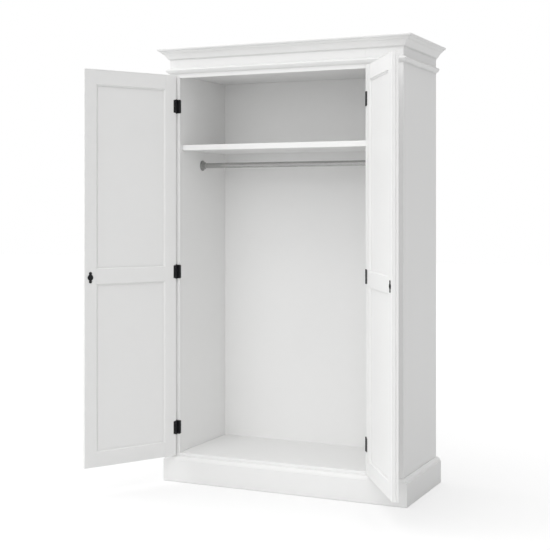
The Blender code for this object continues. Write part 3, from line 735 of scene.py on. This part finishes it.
def makeStile(body, part, atHinge):
    # the section is carried up the door. Each moulded offset is held to the distance from the nearest
    # rail, min(offset, distance), which cuts the mitres
    side, hingeX, freeX = doorPlace(body)
    low, high = boxOf(body + "_" + part, body)
    width = doorLooks["stickingWidth"]
    direction = side if atHinge else -side
    edgeX = (high[0] if direction > 0 else low[0]) - direction * width
    u = hingeX if atHinge else freeX
    tongue = 0 if atHinge else (-1 if body == "left_door" else 1)
    plain, plainWeight = plainEdge(u, body, -direction, tongue)
    offsets, through = mouldedEdge(body)
    reach = np.concatenate([np.zeros(len(plain)), offsets])
    baseX = np.concatenate([plain[:, 0], np.full(len(offsets), edgeX)])
    baseY = np.concatenate([plain[:, 1], through])
    radius, steps = doorLooks["edgeRadius"], 4
    turn = np.linspace(0, np.pi / 2, steps)
    rails = railEdges(body)
    marks = np.unique(np.round(offsets, 6))
    heights = [low[2] + radius * (1 - np.cos(turn)), high[2] - radius * (1 - np.cos(turn))]
    for edge, way in ((rails["bottom_rail"][1], 1), (rails["lock_rail"][0], -1),
                      (rails["lock_rail"][1], 1), (rails["top_rail"][0], -1)):
        heights.append(edge + way * marks)
    z = np.unique(np.round(np.concatenate(heights), 7))
    spans = np.array(list(rails.values()))
    distance = np.maximum(spans[:, :1] - z, z - spans[:, 1:])
    distance = np.maximum(distance.min(0), 0)
    shape = np.minimum(reach[None], distance[:, None])
    x = baseX[None] + direction * shape
    y = baseY[None] + 0 * x
    near = np.minimum(z - low[2], high[2] - z)
    inset = radius - np.sqrt(np.maximum(radius ** 2 - (radius - np.minimum(near, radius)) ** 2, 0))
    x = np.clip(x, low[0] + inset[:, None], high[0] - inset[:, None])
    y = np.clip(y, low[1] + inset[:, None], high[1] - inset[:, None])
    rings = np.stack([x, y, z[:, None] + 0 * x], -1)
    weight = np.concatenate([plainWeight, np.zeros(len(offsets))])
    arris = np.tile(weight, (len(z), 1)) * (inset[:, None] < radius * 0.5)
    doorPiece(body, part, closedLoft(rings) + (arris.reshape(-1),))


def makeRail(body, rail):
    # the section (y, z) is carried across the door, and each moulded point stops short of the stile by
    # its own offset, which meets the stile's mitre
    low, high = boxOf(body + "_" + rail, body)
    outer, inner = doorFaces(body)
    bottom, top = railEdges(body)[rail]
    offsets, through = mouldedEdge(body)
    radius = doorLooks["edgeRadius"]
    flatTurn = np.radians(np.linspace(0, 90, 5))
    softY = np.concatenate([inner - radius * (1 - np.cos(flatTurn[::-1])),
                            outer + radius * (1 - np.cos(flatTurn))])
    softZ = np.concatenate([radius * (1 - np.sin(flatTurn[::-1])), radius * (1 - np.sin(flatTurn))])
    softWeight = np.sin(2 * np.concatenate([flatTurn[::-1], flatTurn]))
    upper = (offsets, through, np.zeros(len(offsets)))
    lower = upper
    if rail == "top_rail":
        upper = (-softZ, softY, softWeight)
    if rail == "bottom_rail":
        lower = (-softZ, softY, softWeight)
    z = np.concatenate([top + upper[0], bottom - lower[0][::-1]])
    y = np.concatenate([upper[1], lower[1][::-1]])
    weight = np.concatenate([upper[2], lower[2][::-1]])
    beyond = np.maximum(np.maximum(z - top, bottom - z), 0)
    ends = np.array([1.0, -1.0])[:, None]
    start = np.array([low[0], high[0]])[:, None]
    x = start + ends * beyond[None]
    rings = np.stack([x, y[None] + 0 * x, z[None] + 0 * x], -1)
    doorPiece(body, rail, closedLoft(rings) + (np.tile(weight, 2),), grain=0)


def makePanel(body, panel):
    # a plain board held in the grooves
    low, high = boxOf(body + "_" + panel, body)
    doorPiece(body, panel, boardShape(low, high, *doorLooks["panelEdge"]))


for doorName in jointOf:
    makeStile(doorName, "hinge_stile", True)
    makeStile(doorName, "meeting_stile", False)
    for railName in ("bottom_rail", "lock_rail", "top_rail"):
        makeRail(doorName, railName)
    for panelName in ("lower_panel", "upper_panel"):
        makePanel(doorName, panelName)
print("doors made")


# Screws: a disc x = s sqrt(R^2 - y^2), a low dome, a straight slot, and a flat underside

screwLook = {"radius": 0.0029, "dome": 0.0006, "slot": 0.0007, "slotEdge": 0.00006, "slotDepth": 0.0005,
             "below": 0.0006, "arris": 0.35, "sharpAngle": 30}


def screwShape(radius, spin, dome=screwLook["dome"]):
    # the crown is dome * (1 - (r / R)^4), cut down by the slot's depth within half its width of the middle
    half, edge = screwLook["slot"] / 2, screwLook["slotEdge"]
    y = np.array([-1, -0.9, -0.7, -0.45, -(half + edge) / radius, -half / radius, half / radius,
                  (half + edge) / radius, 0.45, 0.7, 0.9, 1]) * radius
    s = np.sin(np.linspace(-np.pi / 2, np.pi / 2, 7))
    x = s[None] * np.sqrt(np.maximum(radius ** 2 - y ** 2, 0))[:, None]
    across = y[:, None] + 0 * x
    crown = dome * (1 - ((x ** 2 + across ** 2) / radius ** 2) ** 2)
    top = crown - min(screwLook["slotDepth"], 0.8 * dome) * (np.abs(across) <= half * 1.001)
    rings = np.concatenate([np.stack([x, across, top], -1),
                            np.stack([x, across, 0 * x - screwLook["below"]], -1)[:, ::-1]], 1)
    points = rings.reshape(-1, 3)
    turn = np.array(Matrix.Rotation(spin, 3, "Z"))
    return points @ turn.T, gridQuads(rings.shape[0], rings.shape[1]).tolist()


def facing(shape, centre, direction):
    # turns a shape made along +Z to face a direction and moves it to its centre
    turn = np.array(Vector(direction).to_track_quat("Z", "Y").to_matrix())
    return shape[0] @ turn.T + np.asarray(centre, float), shape[1]


def makeScrews(name, shapes, body, finish="screw"):
    # several heads in one piece
    points, faces = joined(shapes)
    arris = np.full(len(points), screwLook["arris"])
    makePiece(name, (points, faces, arris), finishes[finish], body, sharp=screwLook["sharpAngle"])


# Hinges: each leaf is a bent sheet, its path (u, y) carried up the height, and given its thickness

hingeLook = {
    "thickness": 0.0012, "knuckleRadius": 0.0035, "cornerRadius": 0.0026, "knuckleGap": 0.00015,
    "softEdge": 0.0002, "frameBends": (0.0012, 0.0014), "doorBends": (0.0012, 0.0016), "landing": -42,
    "curveStart": 0.0004, "curveHandle": -0.0016,
    "pinRadius": 0.0022, "pinCap": 0.0032, "pinCapEdge": 0.0007, "pinSides": 20,
    "screwRows": (-0.0205, 0.0, 0.0205), "screwDome": 0.00015, "frameScrewInset": 0.0066,
    "doorScrewInset": 0.0062, "doorScrewStagger": 0.0016 * 0.8,
}


def bendPath(corners, radii, steps=6):
    # an open path whose inner corners are arcs
    corners = np.asarray(corners, float)
    loop, _ = softCorners(corners, np.concatenate([[0], radii, [0]]), steps)
    first = np.argmin(np.linalg.norm(loop - corners[0], axis=1))
    return np.roll(loop, -first, 0)


def leafSheet(path, rollStart, axisX, axisY, side, centreZ, height, knuckles):
    # grid (path, height). Past rollStart only the knuckle rows keep their faces. The free end's corners are
    # round: the height at length s is held to half - c + sqrt(c^2 - (c - s)^2)
    length = np.concatenate([[0], np.cumsum(np.linalg.norm(np.diff(path, axis=0), axis=1))])
    half = height / 2
    third = half / 3
    slack = hingeLook["knuckleGap"]
    cuts = np.array([-half, -third - slack, -third + slack, third - slack, third + slack, half])
    fill = np.linspace(-half, half, 13)
    z = np.unique(np.round(np.concatenate([cuts, fill]), 6))
    corner = hingeLook["cornerRadius"]
    near = np.minimum(length, corner)
    limit = half - corner + np.sqrt(np.maximum(corner ** 2 - (corner - near) ** 2, 0))
    zGrid = np.clip(z[None], -limit[:, None], limit[:, None])
    x = axisX + side * path[:, 0][:, None] + 0 * zGrid
    y = axisY + path[:, 1][:, None] + 0 * zGrid
    points = np.stack([x, y, centreZ + zGrid], -1).reshape(-1, 3)
    quads = gridQuads(len(path), len(z), wrap=False)
    row, column = quads[:, 0] // len(z), quads[:, 0] % len(z)
    middle = (z[column] + z[np.minimum(column + 1, len(z) - 1)]) / 2
    inMiddle = np.abs(middle) < third - slack * 0.5
    inOuter = np.abs(middle) > third + slack * 0.5
    kept = inMiddle if knuckles == "middle" else inOuter
    quads = quads[(row < rollStart) | kept]
    return points, quads.tolist()


def rollFrom(first, last, steps=22):
    # the rolled knuckle: the sheet's middle line round the pin, angles in degrees
    radius = hingeLook["knuckleRadius"] - hingeLook["thickness"] / 2
    return arcPoints((0.0, 0.0), (radius, radius), first, last, steps)


def addThickness(piece, thickness, bevel):
    # gives the sheet its thickness about its middle, and rounds its edges
    piece.modifiers.remove(piece.modifiers["even shading"])
    solid = piece.modifiers.new("sheet thickness", "SOLIDIFY")
    solid.thickness = thickness
    solid.offset = 0
    solid.use_even_offset = True
    soft = piece.modifiers.new("soft edges", "BEVEL")
    soft.width = bevel
    soft.segments = 2
    soft.limit_method = "ANGLE"
    soft.angle_limit = math.radians(50)
    weighted = piece.modifiers.new("even shading", "WEIGHTED_NORMAL")
    weighted.keep_sharp = True


def frameLeafPath(body, place):
    # up the reveal, round onto the frame's front, down beside the pin and round it
    side, pin = doorPlace(body)[0], jointOf[body]["pos_m"]
    half = hingeLook["thickness"] / 2
    roll = hingeLook["knuckleRadius"] - half
    low, high = boxOf(body + "_" + place + "_frame_leaf")
    reveal = (high[0] - pin[0] if side > 0 else pin[0] - low[0]) - half
    front = boxOf("left_front_stile")[0][1] - gap - half - pin[1]
    deep = high[1] - pin[1]
    corners = [(reveal, deep), (reveal, front), (-roll, front), (-roll, 0.0)]
    path = bendPath(corners, hingeLook["frameBends"])
    start = np.argmin(np.abs(path[:, 0] + roll * 0.35) + (path[:, 1] < front - 1e-5) * 1.0)
    return np.concatenate([path, rollFrom(180, 500)[1:]]), start, reveal + half, deep


def doorLeafPath(body, place):
    # along the door's inner face, round its edge, and by a curve
    # (1 - t)^2 a + 2 t (1 - t) b + t^2 c onto the pin and round it
    side, hingeX, _ = doorPlace(body)
    pin = jointOf[body]["pos_m"]
    half = hingeLook["thickness"] / 2
    roll = hingeLook["knuckleRadius"] - half
    low, high = boxOf(body + "_" + place + "_door_leaf", body)
    inner = high[1] - half - pin[1]
    wide = (high[0] - pin[0]) if side > 0 else (pin[0] - low[0])
    edge = abs(hingeX - pin[0]) - gap - half
    # the last two corners only carry the path on past where it is cut
    corners = [(wide, inner), (edge, inner), (edge, -0.0002), (edge - 0.0016, -0.0026)]
    path = bendPath(corners, hingeLook["doorBends"])
    flat = path[path[:, 1] > hingeLook["curveStart"]]
    t = np.linspace(0, 1, 6)[1:, None]
    angle = math.radians(hingeLook["landing"])
    landing = roll * np.array([math.cos(angle), math.sin(angle)])
    leave = np.array([edge, hingeLook["curveStart"]])
    handle = np.array([edge, hingeLook["curveHandle"]])
    curve = (1 - t) ** 2 * leave + 2 * t * (1 - t) * handle + t ** 2 * landing
    path = np.concatenate([flat, curve, rollFrom(hingeLook["landing"], -350)[1:]])
    return path, len(flat), wide, inner + half


def pinShape(length, neck):
    # a turned pin with a domed button past the knuckles at each end
    radius, cap = hingeLook["pinRadius"], hingeLook["pinCap"]
    shoulder, sides = neck + hingeLook["pinCapEdge"], hingeLook["pinSides"]
    rim = [(radius, neck), (cap, neck + 0.0001), (cap, shoulder)]
    upper = np.concatenate([rim, arcPoints((0.0, shoulder), (cap, length / 2 - shoulder), 8, 90, 6)])
    profile = np.concatenate([upper[::-1] * [1, -1], upper])
    points, faces = turned(profile, sides)
    arris = np.tile(np.clip((np.abs(profile[:, 1]) - neck) / 0.001, 0, 1)[:, None], (1, sides))
    return points, faces, arris.reshape(-1)


def makeHinge(body, place):
    # both leaves, the pin, and the screws through each leaf
    side, label = doorPlace(body)[0], body + "_" + place
    axisX, axisY = jointOf[body]["pos_m"][:2]
    low, high = boxOf(label + "_frame_leaf")
    height, centreZ = high[2] - low[2], (high[2] + low[2]) / 2
    path, start, reveal, deep = frameLeafPath(body, place)
    sheet = leafSheet(path, start, axisX, axisY, side, centreZ, height, "outer")
    piece = makePiece(label + "_frame_leaf_iron", sheet, finishes["iron"], stands=[label + "_frame_leaf"])
    addThickness(piece, hingeLook["thickness"], hingeLook["softEdge"])
    path, start, wide, face = doorLeafPath(body, place)
    sheet = leafSheet(path, start, axisX, axisY, side, centreZ, height, "middle")
    piece = makePiece(label + "_door_leaf_iron", sheet, finishes["iron"], body, [label + "_door_leaf"])
    addThickness(piece, hingeLook["thickness"], hingeLook["softEdge"])
    low, high = boxOf(label + "_hinge_pin")
    points, faces, arris = pinShape(high[2] - low[2], height / 2 + gap)
    points = points + [axisX, axisY, centreZ]
    makePiece(label + "_hinge_pin_iron", (points, faces, arris), finishes["pin"],
              stands=[label + "_hinge_pin"])
    frameScrews, doorScrews = [], []
    radius, flat = screwLook["radius"], hingeLook["screwDome"]
    for k, up in enumerate(hingeLook["screwRows"]):
        spot = (axisX + side * reveal, axisY + deep - hingeLook["frameScrewInset"], centreZ + up)
        frameScrews.append(facing(screwShape(radius, 0.5 + 0.9 * k, flat), spot, (side, 0, 0)))
        inset = hingeLook["doorScrewInset"] - hingeLook["doorScrewStagger"] * (1 if k == 1 else -1)
        spot = (axisX + side * (wide - inset), axisY + face, centreZ + up)
        doorScrews.append(facing(screwShape(radius, 1.1 + 1.3 * k, flat), spot, (0, 1, 0)))
    makeScrews(label + "_frame_leaf_screws", frameScrews, "carcass")
    makeScrews(label + "_door_leaf_screws", doorScrews, body)


for doorName in jointOf:
    for hingePlace in ("top", "middle", "bottom"):
        makeHinge(doorName, hingePlace)
print("hinges made")


# Plates: a disc with a lobe above and below, a raised ring and a low boss, on both faces of each door

plateLook = {"disc": 0.0135, "lobe": 0.0075, "thickness": 0.002, "edge": 0.0007, "screw": 0.0024,
             "boss": 0.0045, "bossArris": 0.3, "ring": 0.0078, "ringSize": (0.0011, 0.0007),
             "ringArris": 0.5}
bossCurve = {"width": (1.0, 0.93, 0.76, 0.44, 0.0), "rise": (0.0006, 0.0012, 0.0017, 0.00195, 0.002)}


def plateOutline(height):
    # polar: the larger of the disc's radius and the lobe's, centre |sin t| + sqrt(lobe^2 - (centre cos t)^2)
    lobe = plateLook["lobe"]
    centre = height / 2 - lobe
    turn = np.linspace(0, 2 * np.pi, 96, endpoint=False)
    root = np.maximum(lobe ** 2 - (centre * np.cos(turn)) ** 2, 0)
    reach = np.where(root > 0, centre * np.abs(np.sin(turn)) + np.sqrt(root), 0)
    reach = np.maximum(reach, plateLook["disc"])
    return np.stack([reach * np.cos(turn), reach * np.sin(turn)], -1)


def makePlate(body, face):
    # the plate with its boss and ring, and a screw in each lobe
    name = body + "_" + face + "_plate"
    low, high = boxOf(name, body)
    centre = (low + high) / 2
    direction = (0, 1, 0) if face == "inner" else (0, -1, 0)
    centre[1] = low[1] if face == "inner" else high[1]
    thick, boss = plateLook["thickness"], plateLook["boss"]
    outline = plateOutline(high[2] - low[2])
    shape = slab(outline, np.zeros(len(outline)), 0.0, thick, plateLook["edge"], (0, 1, 2))
    crown = np.stack([boss * np.array(bossCurve["width"]), thick + np.array(bossCurve["rise"])], -1)
    dome = turned(np.concatenate([[(0.0, thick / 2), (boss, thick / 2)], crown]), 28)
    bead = arcPoints((plateLook["ring"], thick - 0.0001), plateLook["ringSize"], 0, 180, 7)
    ring = turned(bead, 40, closed=True)
    points, faces = facing(joined([shape[:2], dome, ring]), centre, direction)
    arris = np.concatenate([shape[2], np.full(len(dome[0]), plateLook["bossArris"]),
                            np.full(len(ring[0]), plateLook["ringArris"])])
    makePiece(name + "_iron", (points, faces, arris), finishes["iron"], body, [name])
    lobeCentre = (high[2] - low[2]) / 2 - plateLook["lobe"]
    seat = centre + np.array(direction) * thick
    screws = [facing(screwShape(plateLook["screw"], 0.7 + k), seat + [0, 0, k * lobeCentre], direction)
              for k in (-1, 1)]
    makeScrews(name + "_screws", screws, body)


for doorName in jointOf:
    for plateFace in ("inner", "outer"):
        makePlate(doorName, plateFace)
print("plates made")


# Hanging rail and its flanges

railLook = {"wall": 0.0012, "lip": 0.0003, "sides": 48}
flangeLook = {"plate": 0.003, "socketWall": 0.004, "edge": 0.0012, "fillet": 0.0016, "mouth": 0.0009,
              "softEdge": 0.0003, "screwCircle": 0.0208, "screws": 3, "screwRadius": 0.0022}


def flangeProfile(wide, deep, inner):
    # (radius, height): a flat plate with a round edge, a fillet up to the socket, its round mouth, and the
    # bore down to the plate
    look = flangeLook
    socket, plate, soft = inner + look["socketWall"], look["plate"], look["softEdge"]
    rim, hollow, lip = look["edge"], look["fillet"], look["mouth"]
    edge = arcPoints((wide - rim, plate - rim), (rim, rim), 0, 90, 5)
    fillet = arcPoints((socket + hollow, plate + hollow), (hollow, hollow), 270, 180, 5)
    mouth = arcPoints((socket - lip, deep - lip), (lip, lip), 0, 90, 4)
    foot = [(0.0, 0.0), (wide - soft, 0.0), (wide, soft)]
    bore = [(inner + soft, deep), (inner, deep - soft), (inner, plate), (0.0, plate)]
    return np.concatenate([foot, edge, fillet, mouth, bore])


def makeRailAndFlanges():
    # the rail is a tube turned round its own length, with a flange turned about the same line at each end
    low, high = boxOf("hanging_rail")
    centre = (low + high) / 2
    radius, half = (high[2] - low[2]) / 2, (high[0] - low[0]) / 2
    bore, lip = radius - railLook["wall"], railLook["lip"]
    stations = np.linspace(-half + 0.01, half - 0.01, 9)
    outside = [(radius - lip, -half), (radius, -half + lip)] + [(radius, s) for s in stations]
    outside += [(radius, half - lip), (radius - lip, half), (bore, half), (bore, -half)]
    points, faces = facing(turned(outside, railLook["sides"], closed=True), centre, (1, 0, 0))
    makePiece("hanging_rail_steel", (points, faces), finishes["rail"], stands=["hanging_rail"], grain=0)
    for side, label in ((-1, "left"), (1, "right")):
        low, high = boxOf(label + "_rail_flange")
        wall = low[0] if side < 0 else high[0]
        profile = flangeProfile((high[2] - low[2]) / 2, high[0] - low[0], radius + gap)
        flange = turned(profile, railLook["sides"])
        points, faces = facing(flange, (wall, centre[1], centre[2]), (-side, 0, 0))
        makePiece(label + "_rail_flange_steel", (points, faces), finishes["flange"],
                  stands=[label + "_rail_flange"], grain=1)
        screws = []
        circle, count = flangeLook["screwCircle"], flangeLook["screws"]
        for k in range(count):
            turn = 2 * math.pi * k / count + math.pi / 2
            spot = (wall - side * flangeLook["plate"], centre[1] + circle * math.cos(turn),
                    centre[2] + circle * math.sin(turn))
            head = screwShape(flangeLook["screwRadius"], 0.4 + 0.8 * k)
            screws.append(facing(head, spot, (-side, 0, 0)))
        makeScrews(label + "_rail_flange_screws", screws, "carcass", "flange")


backScrewLook = {"fromSide": 0.018, "fromEnd": 0.03, "up": 9, "across": 6, "radius": 0.0036}


def makeBackScrews():
    # a row round the back panel's edge, sunk to just under the sides' back edges
    low, high = boxOf("back_panel")
    look, face = backScrewLook, high[1] - boards["backRecess"]
    heights = np.linspace(low[2] + look["fromEnd"], high[2] - look["fromEnd"], look["up"])
    columns = np.linspace(low[0] + look["fromSide"], high[0] - look["fromSide"], look["across"])
    spots = [(x, z) for x in (columns[0], columns[-1]) for z in heights]
    spots += [(x, z) for x in columns[1:-1] for z in (heights[0], heights[-1])]
    shapes = []
    for k, (x, z) in enumerate(spots):
        shapes.append(facing(screwShape(look["radius"], 0.6 * k), (x, face, z), (0, 1, 0)))
    makeScrews("back_panel_screws", shapes, "carcass", "flange")


makeRailAndFlanges()
makeBackScrews()
print("rail made")


# Floor, light and camera

studio = {
    "floorColour": (0.70, 0.70, 0.70), "floorSize": 40.0, "floorShade": 0.75, "floorGlow": 1.82,
    "surround": 0.497, "backdrop": 1.0,
    "suns": {
        "front light": {"strength": 0.70, "from": (0.0, -0.90, 0.45), "angle": 60},
        "left light": {"strength": 1.115, "from": (-0.92, -0.30, 0.30), "angle": 60},
        "right light": {"strength": 0.19, "from": (0.40, -0.85, 0.35), "angle": 60},
        "top light": {"strength": 1.33, "from": (-0.1, -0.1, 1.0), "angle": 80},
    },
    "camera": {"lens": 75.24, "shift": -0.1239, "place": (2.106, -4.643, 1.2695), "turn": 24.67},
}


def makeFloor():
    # a square grid, x and y from -size / 2 to size / 2
    size, steps = studio["floorSize"], 13
    line = np.linspace(-size / 2, size / 2, steps)
    x, y = np.meshgrid(line, line)
    mesh = bpy.data.meshes.new("studio_floor")
    mesh.from_pydata(np.stack([x, y, 0 * x], -1).reshape(-1, 3).tolist(), [],
                     gridQuads(steps, steps, wrap=False).tolist())
    material, tree, shader = newMaterial("studioFloor")
    plugAll(tree, shader.inputs, Base_Color=(*studio["floorColour"], 1), Roughness=0.9,
            Specular_IOR_Level=0.1)
    # seen directly, the floor is lifted towards white, so that only part of the shadow shows
    glow = addNode(tree, "Emission", Color=(1, 1, 1, 1), Strength=studio["floorGlow"])
    seen = addNode(tree, "LightPath").outputs["Is Camera Ray"]
    share = times(tree, seen, 1 - studio["floorShade"])
    mixed = addNode(tree, "MixShader", i0=share, i1=shader.outputs[0], i2=glow.outputs[0])
    tree.links.new(mixed.outputs[0], tree.nodes["Material Output"].inputs["Surface"])
    mesh.materials.append(material)
    floor = putInScene("studio_floor", mesh)


def makeSun(name, strength, direction, angle):
    # a broad light from the given direction
    light = bpy.data.lights.new(name, "SUN")
    light.energy = strength
    light.angle = math.radians(angle)
    lamp = putInScene(name, light)
    lamp.rotation_euler = Vector(direction).to_track_quat("Z", "Y").to_euler()


def makeWorld():
    # an even surround, seen directly as a white backdrop
    world = bpy.data.worlds.new("studio")
    bpy.context.scene.world = world
    world.use_nodes = True
    tree = world.node_tree
    background = tree.nodes["Background"]
    seen = addNode(tree, "LightPath").outputs["Is Camera Ray"]
    lift = studio["backdrop"] - studio["surround"]
    strength = timesPlus(tree, seen, lift, studio["surround"])
    plugAll(tree, background.inputs, Color=(1, 1, 1, 1), Strength=strength)


def makeCamera():
    # level, turned about Z only, so that uprights stay upright
    look = studio["camera"]
    camera = bpy.data.cameras.new("camera")
    camera.sensor_width = 36
    camera.lens = look["lens"]
    camera.shift_y = look["shift"]
    stand = putInScene("camera", camera)
    stand.location = look["place"]
    stand.rotation_euler = (math.radians(90), 0, math.radians(look["turn"]))
    bpy.context.scene.camera = stand


makeFloor()
for sunName, sun in studio["suns"].items():
    makeSun(sunName, sun["strength"], sun["from"], sun["angle"])
makeWorld()
makeCamera()
bpy.context.scene.view_settings.view_transform = "Standard"
print("studio made")
